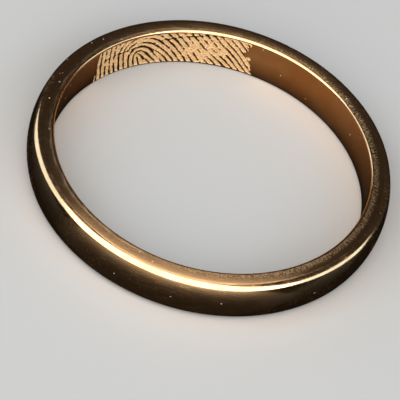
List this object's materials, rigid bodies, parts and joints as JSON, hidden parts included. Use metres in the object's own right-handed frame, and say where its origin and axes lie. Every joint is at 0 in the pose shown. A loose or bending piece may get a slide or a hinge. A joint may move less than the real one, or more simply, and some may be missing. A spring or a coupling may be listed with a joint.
{
  "type": "wedding ring",
  "caption": "Plain gold wedding band with a straight round bore, flat satin side faces, rounded shoulders that crease into a domed polished outside, lying on its side.",
  "frame": {"origin": "on the axis of the bore, in the plane of the side face that the ring rests on", "axes": "+Z along the axis of the bore, up from the face that the ring rests on; the ring is round, so +X and +Y are any two directions across it"},
  "size_m": [0.0236, 0.0236, 0.003],
  "materials": {
    "gold": "polished rose-yellow gold, satin on the side faces"
  },
  "bodies": {
    "root": {"band": "gold"}
  },
  "joints": []
}
